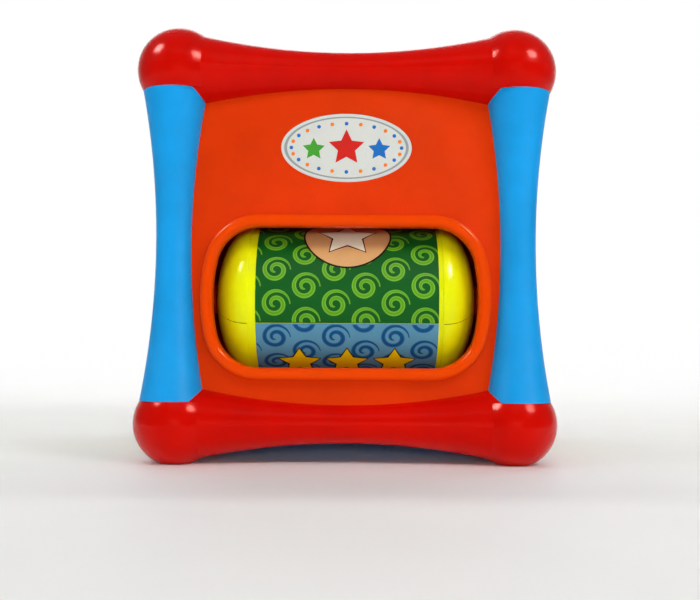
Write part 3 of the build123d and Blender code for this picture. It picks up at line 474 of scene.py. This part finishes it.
def add_swirl(mesh, centre, width=1.0):
    """A round swirl of even pitch that narrows to a point at both ends."""
    previous = None
    for step in range(SWIRL_STEPS + 1):
        share = step / SWIRL_STEPS
        turn = 2 * pi * SWIRL_TURNS * share
        radius = SWIRL_RADIUS + (SWIRL_INNER - SWIRL_RADIUS) * share
        half = SWIRL_HALF_WIDTH * width * max(0.06, sin(pi * share)) ** 0.5
        ends = []
        for reach in (radius - half, radius + half):
            ends.append(mesh.verts.new((centre[0] + reach * cos(turn), centre[1] + reach * sin(turn), 0)))
        if previous:
            mesh.faces.new((previous[0], previous[1], ends[1], ends[0]))
        previous = ends


def clip(mesh, low_u, high_u, low_v, high_v):
    """Cut the flat mesh to a rectangle."""
    for point, normal in (
        ((low_u, 0, 0), (-1, 0, 0)),
        ((high_u, 0, 0), (1, 0, 0)),
        ((0, low_v, 0), (0, -1, 0)),
        ((0, high_v, 0), (0, 1, 0)),
    ):
        geometry = mesh.verts[:] + mesh.edges[:] + mesh.faces[:]
        bmesh.ops.bisect_plane(mesh, geom=geometry, plane_co=point, plane_no=normal, clear_outer=True)


def laid_piece(name, mesh, place, material, body):
    """Lay a flat mesh on its surface and make it a piece that rides on a body."""
    for vertex in mesh.verts:
        vertex.co = place(vertex.co.x, vertex.co.y)
    bmesh.ops.remove_doubles(mesh, verts=mesh.verts[:], dist=1e-7)
    bmesh.ops.recalc_face_normals(mesh, faces=mesh.faces[:])
    face = mesh.faces[0] if mesh.faces else None
    if face and face.normal.dot(place.outwards(face.calc_center_median())) < 0:
        bmesh.ops.reverse_faces(mesh, faces=mesh.faces[:])
    return finished_piece(name, mesh, material, body)


def finished_piece(name, mesh, material, body):
    """Make a mesh a smooth-shaded piece that rides on a body."""
    data = bpy.data.meshes.new(name)
    mesh.to_mesh(data)
    mesh.free()
    data.materials.append(material)
    data.polygons.foreach_set("use_smooth", [True] * len(data.polygons))
    piece = bpy.data.objects.new(name, data)
    bpy.context.scene.collection.objects.link(piece)
    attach(piece, body)
    return piece


class OnFlat:
    """Places (u, v) in millimetres on a flat face, lifted a little off it."""

    def __init__(self, origin, right, up, lift):
        self.origin = Vector(origin)
        self.right = Vector(right)
        self.up = Vector(up)
        self.out = self.right.cross(self.up)
        self.lift = lift * MM

    def __call__(self, u, v):
        return self.origin + self.right * u * MM + self.up * v * MM + self.out * self.lift

    def outwards(self, point):
        return self.out


SEAM_DEG = -20  # where the drum's front seam lies at rest, from level


class OnDrum:
    """Places (u, v) in millimetres on the drum: u along its axis, v up round it from the seam."""

    def __init__(self, lift):
        low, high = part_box("drum_label_green")
        self.axis_y = middle("drum_axle").y
        self.axis_z = middle("drum_axle").z
        self.middle_x = (low.x + high.x) / 2
        self.half_width = (high.x - low.x) / 2 / MM
        self.radius = (high.z - self.axis_z) / MM
        self.lift = lift
        self.seam = radians(SEAM_DEG)

    def __call__(self, u, v):
        angle = self.seam + v / self.radius
        reach = (self.radius + self.lift) * MM
        return Vector(
            (self.middle_x + u * MM, self.axis_y - reach * cos(angle), self.axis_z + reach * sin(angle))
        )

    def outwards(self, point):
        return Vector((0, point.y - self.axis_y, point.z - self.axis_z))


# ---------------------------------------------------------------- prints on the drum

DRUM_FACE = OnDrum(0.0)
LABEL_EDGE = DRUM_FACE.half_width - 0.02
LABEL_START = 0.4  # a print stops this far from the labels' seams
LABEL_TOP = pi * DRUM_FACE.radius - LABEL_START
COLUMN = 11.7
ROW = 13.8
FIRST_COLUMN = -28.1
COLUMNS = range(-1, 7)
ROWS = range(-1, 9)
SWIRL_REACH = 6
LAYER = 0.025  # one ink over another


def swirl_field(low_v, high_v, first_v, width):
    """Staggered columns of swirls, cut at the label's edges."""
    mesh = bmesh.new()
    for column in COLUMNS:
        centre_u = FIRST_COLUMN + COLUMN * column
        stagger = ROW / 2 if column % 2 else 0.0
        for row in ROWS:
            centre_v = first_v + stagger + ROW * row
            if low_v - SWIRL_REACH < centre_v < high_v + SWIRL_REACH:
                add_swirl(mesh, (centre_u, centre_v), width)
    clip(mesh, -LABEL_EDGE, LABEL_EDGE, low_v, high_v)
    return mesh


def drum_print(name, layer, ink, slot, *shapes, low_v, high_v):
    """One ink of a drum print, from (outline, centre) shapes."""
    mesh = bmesh.new()
    for outline, centre in shapes:
        add_filled(mesh, outline, centre)
    clip(mesh, -LABEL_EDGE, LABEL_EDGE, low_v, high_v)
    laid_piece(name, mesh, OnDrum(layer * LAYER), INKS[ink], "drum")


def outlined(outline, centre, width):
    """The outline grown by a width, for the dark line round a shape."""
    grown = []
    for u, v in outline:
        reach = hypot(u - centre[0], v - centre[1])
        share = 1 + width / max(reach, 1e-6)
        grown.append((centre[0] + (u - centre[0]) * share, centre[1] + (v - centre[1]) * share))
    return grown


LINE = 0.38  # half the dark line's width that shows round a shape
GREEN_START = 7.8  # height of the first swirl's centre above the seam
BLUE_START = -6.0 - 7 * ROW
for colour, low_v, high_v, first_v, core_ink, core_width in (
    ("green", LABEL_START, LABEL_TOP, GREEN_START, "swirl_lime", 0.45),
    ("blue", -LABEL_TOP, -LABEL_START, BLUE_START, "swirl_navy", 0.4),
):
    field = swirl_field(low_v, high_v, first_v, 1.0)
    laid_piece(f"print_swirls_{colour}", field, OnDrum(LAYER), INKS[f"swirl_{colour}"], "drum")
    cores = swirl_field(low_v, high_v, first_v, core_width)
    laid_piece(f"print_swirl_cores_{colour}", cores, OnDrum(2 * LAYER), INKS[core_ink], "drum")

# Plain shapes on the labels: a disc with a star on the green one, a row of stars on the blue one
green_range = {"low_v": LABEL_START, "high_v": LABEL_TOP}
blue_range = {"low_v": -LABEL_TOP, "high_v": -LABEL_START}
DISC = (0.0, 40.0)
DISC_RADIUS = 17.0
DISC_STAR = 12.0
STAR = 8.5
STAR_SHARE = 0.5  # a star's inner radius, as a share of its outer one
disc = moved(ring_points(DISC_RADIUS, DISC_RADIUS, 96), DISC)
disc_star = moved(star_points(5, DISC_STAR, DISC_STAR * STAR_SHARE), DISC)
for name, layer, ink, outline in (
    ("print_disc_line", 3, "outline", outlined(disc, DISC, 2 * LINE)),
    ("print_disc", 4, "brown", disc),
    ("print_disc_star_line", 5, "outline", outlined(disc_star, DISC, 2 * LINE)),
    ("print_disc_star", 6, "cream", disc_star),
):
    drum_print(name, layer, ink, "green_label", (outline, DISC), **green_range)
for number, place in enumerate([(-19.0, -20.0), (0.0, -20.0), (19.0, -20.0)], 1):
    star = moved(star_points(5, STAR, STAR * STAR_SHARE), place)
    for name, layer, ink, outline in (
        ("print_star_line", 3, "outline", outlined(star, place, 2 * LINE)),
        ("print_star", 4, "yellow", star),
    ):
        drum_print(f"{name}_{number}", layer, ink, "blue_label", (outline, place), **blue_range)

# The blue label overlaps the green one a little at both seams
OVERLAP = 0.36
overlaps = bmesh.new()
for seam_v in (0.0, pi * DRUM_FACE.radius):
    low_v = seam_v - OVERLAP
    strip = [(-LABEL_EDGE, low_v), (LABEL_EDGE, low_v), (LABEL_EDGE, seam_v), (-LABEL_EDGE, seam_v)]
    add_filled(overlaps, dense(strip, CELL), (0.0, seam_v - OVERLAP / 2))
laid_piece("label_overlap", overlaps, OnDrum(LAYER), MATERIALS["blue_label"], "drum")

# The line where the drum's two shells meet, seen on its domed ends
DOME = 15.0 * MM
DOME_STEPS = 16
DOME_END = radians(85)
SEAM_LINE = 0.16 * MM
LINE_LIFT = 0.04 * MM
shell_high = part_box("drum_shell_upper")[1]
parting = bmesh.new()
for side in (-1, 1):
    for seam in (DRUM_FACE.seam, DRUM_FACE.seam + pi):
        previous = None
        for step in range(DOME_STEPS + 1):
            turn = DOME_END * step / DOME_STEPS
            reach = (shell_high.z - DRUM_FACE.axis_z + LINE_LIFT) * cos(turn)
            along = side * (shell_high.x - DOME + (DOME + LINE_LIFT) * sin(turn))
            ends = []
            for angle in (seam - SEAM_LINE / reach, seam + SEAM_LINE / reach):
                y = DRUM_FACE.axis_y - reach * cos(angle)
                z = DRUM_FACE.axis_z + reach * sin(angle)
                ends.append(parting.verts.new((along, y, z)))
            if previous:
                parting.faces.new((previous[0], previous[1], ends[1], ends[0]))
            previous = ends
finished_piece("parting_lines", parting, INKS["seam"], "drum")

# ---------------------------------------------------------------- prints on the flat faces


def flat_print(name, place, ink, slot, *shapes, body=FRAME_BODY):
    """One ink of a flat print, from (outline, centre) shapes."""
    mesh = bmesh.new()
    for outline, centre in shapes:
        add_filled(mesh, outline, centre)
    laid_piece(name, mesh, place, INKS[ink], body)


badge_low, badge_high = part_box("badge_sticker")
badge_middle = middle("badge_sticker")
BADGE_HALF_U = (badge_high.x - badge_low.x) / 2 / MM
BADGE_HALF_V = (badge_high.z - badge_low.z) / 2 / MM


def on_badge(lift):
    return OnFlat((badge_middle.x, badge_low.y, badge_middle.z), (1, 0, 0), (0, 0, 1), lift)


BADGE_LOW_LAYER = 0.02
BADGE_HIGH_LAYER = 0.03
BADGE_LINE_INSET = 1.2
BADGE_DOTS = 24
BADGE_DOT = 0.75
BADGE_DOT_INSET = 4.0
badge_edge = bmesh.new()
edge_line = ring_points(BADGE_HALF_U - BADGE_LINE_INSET, BADGE_HALF_V - BADGE_LINE_INSET, 120)
add_band(badge_edge, edge_line, (0, 0), 0.955)
laid_piece("badge_line", badge_edge, on_badge(BADGE_LOW_LAYER), INKS["grey"], FRAME_BODY)
dots = [
    (moved(ring_points(BADGE_DOT, BADGE_DOT, 16), dot), dot)
    for dot in ring_points(BADGE_HALF_U - BADGE_DOT_INSET, BADGE_HALF_V - BADGE_DOT_INSET, BADGE_DOTS)
]
for name, layer, ink, shapes in (
    ("badge_dots_blue", BADGE_LOW_LAYER, "blue", dots[::2]),
    ("badge_dots_orange", BADGE_LOW_LAYER, "orange", dots[1::2]),
    ("badge_star", BADGE_HIGH_LAYER, "red", [(star_points(5, 7.4, 3.6), (0, 0))]),
):
    flat_print(name, on_badge(layer), ink, "badge_print", *shapes)
for name, place_u, ink in (("left", -13.0, "green"), ("right", 13.0, "blue")):
    centre = (place_u, -0.6)
    star = (moved(star_points(5, 4.6, 2.3), centre), centre)
    flat_print(f"badge_star_{name}", on_badge(BADGE_HIGH_LAYER), ink, "badge_print", star)

# Printed rays and dots round the push button
BUTTON_RING_PROUD = 1.6 * MM
RAYS = 16
RAY = [(-2.6, 30.0), (2.6, 30.0), (0.0, 39.0)]
RAY_MIDDLE = (0.0, 33.0)
RAY_DOT = 1.7
RAY_DOT_AT = (0.0, 38.0)
button = middle("push_button")
top_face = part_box("top_panel")[1].z - BUTTON_RING_PROUD
on_top = OnFlat((button.x, button.y, top_face), (1, 0, 0), (0, 1, 0), LAYER)
rays = []
ray_dots = []
for step in range(RAYS):
    turn = 2 * pi * step / RAYS
    rays.append((moved(dense(RAY, CELL), (0, 0), turn), moved([RAY_MIDDLE], (0, 0), turn)[0]))
    dot = moved([RAY_DOT_AT], (0, 0), turn + pi / RAYS)[0]
    ray_dots.append((moved(ring_points(RAY_DOT, RAY_DOT, 24), dot), dot))
flat_print("print_button_rays", on_top, "orange", "yellow_plastic", *rays)
flat_print("print_button_dots_blue", on_top, "blue", "yellow_plastic", *ray_dots[::2])
flat_print("print_button_dots_red", on_top, "red", "yellow_plastic", *ray_dots[1::2])

# Stars in the free corners of the gear panel
face_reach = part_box("back_panel")[1].y  # from the cube's centre to the outer face of a side panel
cube_middle_z = middle("right_panel").z
on_right = OnFlat((face_reach, 0, cube_middle_z), (0, 1, 0), (0, 0, 1), LAYER)
for name, ink, place, size in (
    ("high", "orange", (34, 42), 9.0),
    ("back", "blue", (44, -39), 7.5),
    ("front", "red", (-40, -32), 9.0),
):
    star = (moved(star_points(5, size, size / 2), place), place)
    flat_print(f"print_gear_star_{name}", on_right, ink, "yellow_plastic", star)

# Daisies at the corners of the mirror panel and on its door
PETAL_COUNT = 8
PETAL_DEPTH = 0.2
HEART_SHARE = 0.42


def daisy(name, place, slot, centre, radius, body=FRAME_BODY):
    """White petals round a yellow heart, each with a thin dark line."""
    petals = moved(lobed_points(radius, PETAL_DEPTH, PETAL_COUNT), centre)
    heart = moved(ring_points(radius * HEART_SHARE, radius * HEART_SHARE, 40), centre)
    line = 2 * LINE
    for part, layer, ink, outline in (
        ("line", 1, "outline", outlined(petals, centre, line)),
        ("petals", 2, "white", petals),
        ("heart_line", 3, "outline", outlined(heart, centre, line)),
        ("heart", 4, "yellow", heart),
    ):
        flat_print(f"{name}_{part}", place(layer * LAYER), ink, slot, (outline, centre), body=body)


def on_left(lift):
    return OnFlat((-face_reach, 0, cube_middle_z), (0, -1, 0), (0, 0, 1), lift)


DOOR_KNUCKLE_PROUD = 1.1 * MM  # the hinge's knuckles stand further out than the door's face
door_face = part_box("door")[0].x + DOOR_KNUCKLE_PROUD


def on_door(lift):
    return OnFlat((door_face, 0, middle("door_knob").z), (0, -1, 0), (0, 0, 1), lift)


for number, centre in enumerate([(-42, 50), (42, 50), (-44, -47), (44, -47)], 1):
    daisy(f"print_daisy_{number}", on_left, "green_plastic", centre, 5.6)
daisy("print_door_daisy", on_door, "door_plastic", (3.0, 0.0), 12.5, body="mirror_door")

# A row of shapes above and below the beads
on_back = OnFlat((0, face_reach, cube_middle_z), (-1, 0, 0), (0, 0, 1), LAYER)
for row, height in (("upper", 48.0), ("lower", -50.0)):
    for name, ink, shape, place_u in (
        ("round", "blue", ring_points(5.5, 5.5, 48), -24.0),
        ("triangle", "green", dense(ring_points(7.2, 7.2, 3, pi / 2), CELL), 0.0),
        ("square", "yellow", dense(ring_points(7.0, 7.0, 4, pi / 4), CELL), 24.0),
    ):
        centre = (place_u, height)
        flat_print(f"print_{name}_{row}", on_back, ink, "orange_plastic", (moved(shape, centre), centre))

# ---------------------------------------------------------------- the bellows under the push button

BELLOWS_FOLDS = 3
BELLOWS_FOLD = 2.5 * MM
BELLOWS_WALL = 1.0 * MM
BELLOWS_GAP = 0.05 * MM  # left under the button's stem
BELLOWS_STEPS = 14  # along one fold
BELLOWS_SIDES = 96


def squeaker_bellows():
    """A rubber cup with rounded folds under the button, built at rest."""
    low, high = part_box("squeaker_bellows")
    centre_x, centre_y = (low.x + high.x) / 2, (low.y + high.y) / 2
    foot, top = low.z, high.z - BELLOWS_GAP

    def side(radius, height):
        count = BELLOWS_FOLDS * BELLOWS_STEPS
        points = []
        for step in range(count + 1):
            fold = BELLOWS_FOLD * (1 - cos(2 * pi * step / BELLOWS_STEPS)) / 2
            points.append((radius - fold, foot + height * step / count))
        return points

    radius = (high.x - low.x) / 2
    outer = side(radius, top - foot)
    inner = side(radius - BELLOWS_WALL, top - BELLOWS_WALL - foot)
    profile = [*inner, *reversed(outer)]
    mesh = bmesh.new()
    columns = []
    for step in range(BELLOWS_SIDES):
        turn = 2 * pi * step / BELLOWS_SIDES
        columns.append(
            [mesh.verts.new((centre_x + r * cos(turn), centre_y + r * sin(turn), z)) for r, z in profile]
        )
    roof, ceiling = len(inner), len(inner) - 1
    for column, following in zip(columns, columns[1:] + columns[:1], strict=True):
        for index in range(len(profile)):
            if index != ceiling:
                after = (index + 1) % len(profile)
                mesh.faces.new((column[index], following[index], following[after], column[after]))
    for index in (roof, ceiling):
        mesh.faces.new([column[index] for column in columns])
    bmesh.ops.recalc_face_normals(mesh, faces=mesh.faces[:])
    piece = finished_piece("bellows", mesh, MATERIALS["bellows_rubber"], FRAME_BODY)
    piece.data.set_sharp_from_angle(angle=radians(50))
    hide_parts("squeaker_bellows")
    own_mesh(piece)


squeaker_bellows()

# ---------------------------------------------------------------- floor, light and camera

BACKDROP = (1.0, 1.0, 1.0, 1.0)
FADE_START = 0.18
FADE_END = 0.9
WALL_Y = 1.1
FLOOR_HALF = 3.0
FLOOR_FRONT = -1.3
COVE = 0.6
COVE_STEPS = 12


def fade_to_backdrop(shader):
    """What lies far from the cube shows as the plain backdrop, so that no view has a dark horizon."""
    reach = shader.node("ShaderNodeVectorMath", operation="LENGTH")
    shader.link(shader.place, reach.inputs[0])
    far = shader.ramp(reach.outputs["Value"], FADE_START, FADE_END)
    far.node.interpolation_type = "SMOOTHSTEP"
    share = shader.multiply(far, shader.node("ShaderNodeLightPath").outputs["Is Camera Ray"])
    plain = shader.node("ShaderNodeEmission")
    plain.inputs["Color"].default_value = BACKDROP
    mixed = shader.node("ShaderNodeMixShader")
    shader.link(share, mixed.inputs["Fac"])
    shader.link(shader.surface.outputs["BSDF"], mixed.inputs[1])
    shader.link(plain.outputs["Emission"], mixed.inputs[2])
    shader.link(mixed.outputs["Shader"], shader.tree.nodes["Material Output"].inputs["Surface"])


def pale_floor():
    """A pale floor that curves up into a back wall."""
    shader = Shader("pale_floor")
    cloud = shader.ramp(shader.noise(6, 3, 0.5), 0.35, 0.65)
    tone = shader.mix(cloud, srgb(240, 240, 238), srgb(244, 244, 242))
    shader.link(tone, shader.surface.inputs["Base Color"])
    shader.link(shader.ramp(shader.noise(40, 2), 0.3, 0.7, 0.5, 0.6), shader.surface.inputs["Roughness"])
    shader.set(Specular_IOR_Level=0.2)
    fade_to_backdrop(shader)
    profile = [(FLOOR_FRONT, 0.0), (WALL_Y - COVE, 0.0)]
    for step in range(1, COVE_STEPS + 1):
        angle = pi / 2 * step / COVE_STEPS
        profile.append((WALL_Y - COVE + COVE * sin(angle), COVE - COVE * cos(angle)))
    profile.append((WALL_Y, FLOOR_HALF))
    mesh = bmesh.new()
    columns = [[mesh.verts.new((x, y, z)) for y, z in profile] for x in (-FLOOR_HALF, FLOOR_HALF)]
    left, right = columns
    for index in range(len(profile) - 1):
        mesh.faces.new((left[index], right[index], right[index + 1], left[index + 1]))
    data = bpy.data.meshes.new("floor")
    mesh.to_mesh(data)
    mesh.free()
    data.materials.append(shader.material)
    data.polygons.foreach_set("use_smooth", [True] * len(data.polygons))
    floor = bpy.data.objects.new("floor", data)
    bpy.context.scene.collection.objects.link(floor)


def area_light(name, place, aim, size, power):
    """A soft box that looks at a point."""
    data = bpy.data.lights.new(name, "AREA")
    data.shape = "RECTANGLE"
    data.size, data.size_y = size
    data.energy = power
    light = bpy.data.objects.new(name, data)
    light.location = place
    light.rotation_euler = (Vector(aim) - Vector(place)).to_track_quat("-Z", "Y").to_euler()
    bpy.context.scene.collection.objects.link(light)
    return light


LIGHT_TARGET = (0.0, 0.0, 0.1)
LEFT_BOX = (-0.88, -0.40, 1.0)
RIGHT_BOX = (0.78, -0.68, 0.85)
# Lights that reflections don't show: name, place, aim, size in metres, watts
SOFT_LIGHTS = [
    ("front_high", (0.0, -1.06, 1.16), LIGHT_TARGET, (0.8, 0.4), 4.4),
    ("front_low", (0.05, -1.5, 0.21), LIGHT_TARGET, (0.9, 0.16), 7.2),
    ("box_left", LEFT_BOX, LIGHT_TARGET, (0.42, 0.42), 2.2),
    ("box_right", RIGHT_BOX, LIGHT_TARGET, (0.40, 0.40), 3.8),
    ("wall_wash", (0.0, 0.5, 1.3), (0.0, WALL_Y, 0.35), (1.6, 0.3), 11.0),
]
# Lights that only reflections show
SPARKLES = [
    ("sparkle_left", LEFT_BOX, LIGHT_TARGET, (0.34, 0.34), 30.0),
    ("sparkle_right", RIGHT_BOX, LIGHT_TARGET, (0.36, 0.32), 30.0),
]
WORLD_LIGHT = ((0.96, 0.98, 1.0, 1.0), 0.18)
WORLD_SEEN = (BACKDROP, 1.0)


def light_the_scene():
    """A high and a low front light, soft boxes on both sides, a wash on the back wall and a pale world."""
    for light in SOFT_LIGHTS:
        area_light(*light).visible_glossy = False
    for light in SPARKLES:
        area_light(*light).visible_diffuse = False
    world = bpy.data.worlds.new("studio")
    world.use_nodes = True
    tree = world.node_tree
    seen, lit = tree.nodes["Background"], tree.nodes.new("ShaderNodeBackground")
    for backdrop, (colour, strength) in ((seen, WORLD_SEEN), (lit, WORLD_LIGHT)):
        backdrop.inputs["Color"].default_value = colour
        backdrop.inputs["Strength"].default_value = strength
    chosen = tree.nodes.new("ShaderNodeMixShader")
    tree.links.new(tree.nodes.new("ShaderNodeLightPath").outputs["Is Camera Ray"], chosen.inputs["Fac"])
    tree.links.new(lit.outputs["Background"], chosen.inputs[1])
    tree.links.new(seen.outputs["Background"], chosen.inputs[2])
    tree.links.new(chosen.outputs["Shader"], tree.nodes["World Output"].inputs["Surface"])
    bpy.context.scene.world = world


CAMERA_AT = (0.0018, -0.452, 0.0475)
CAMERA_UP_DEG = 2.5
CAMERA_ROLL_DEG = -0.3


def photo_camera():
    """Low in front of the cube, looking a little upwards."""
    data = bpy.data.cameras.new("camera")
    data.lens = 50.0
    data.sensor_width = 36.0
    data.clip_start = 0.01
    data.clip_end = 20.0
    camera = bpy.data.objects.new("camera", data)
    camera.location = CAMERA_AT
    camera.rotation_euler = (radians(90 + CAMERA_UP_DEG), radians(CAMERA_ROLL_DEG), 0.0)
    bpy.context.scene.collection.objects.link(camera)
    bpy.context.scene.camera = camera


pale_floor()
light_the_scene()
photo_camera()
bpy.context.scene.view_settings.view_transform = "Standard"
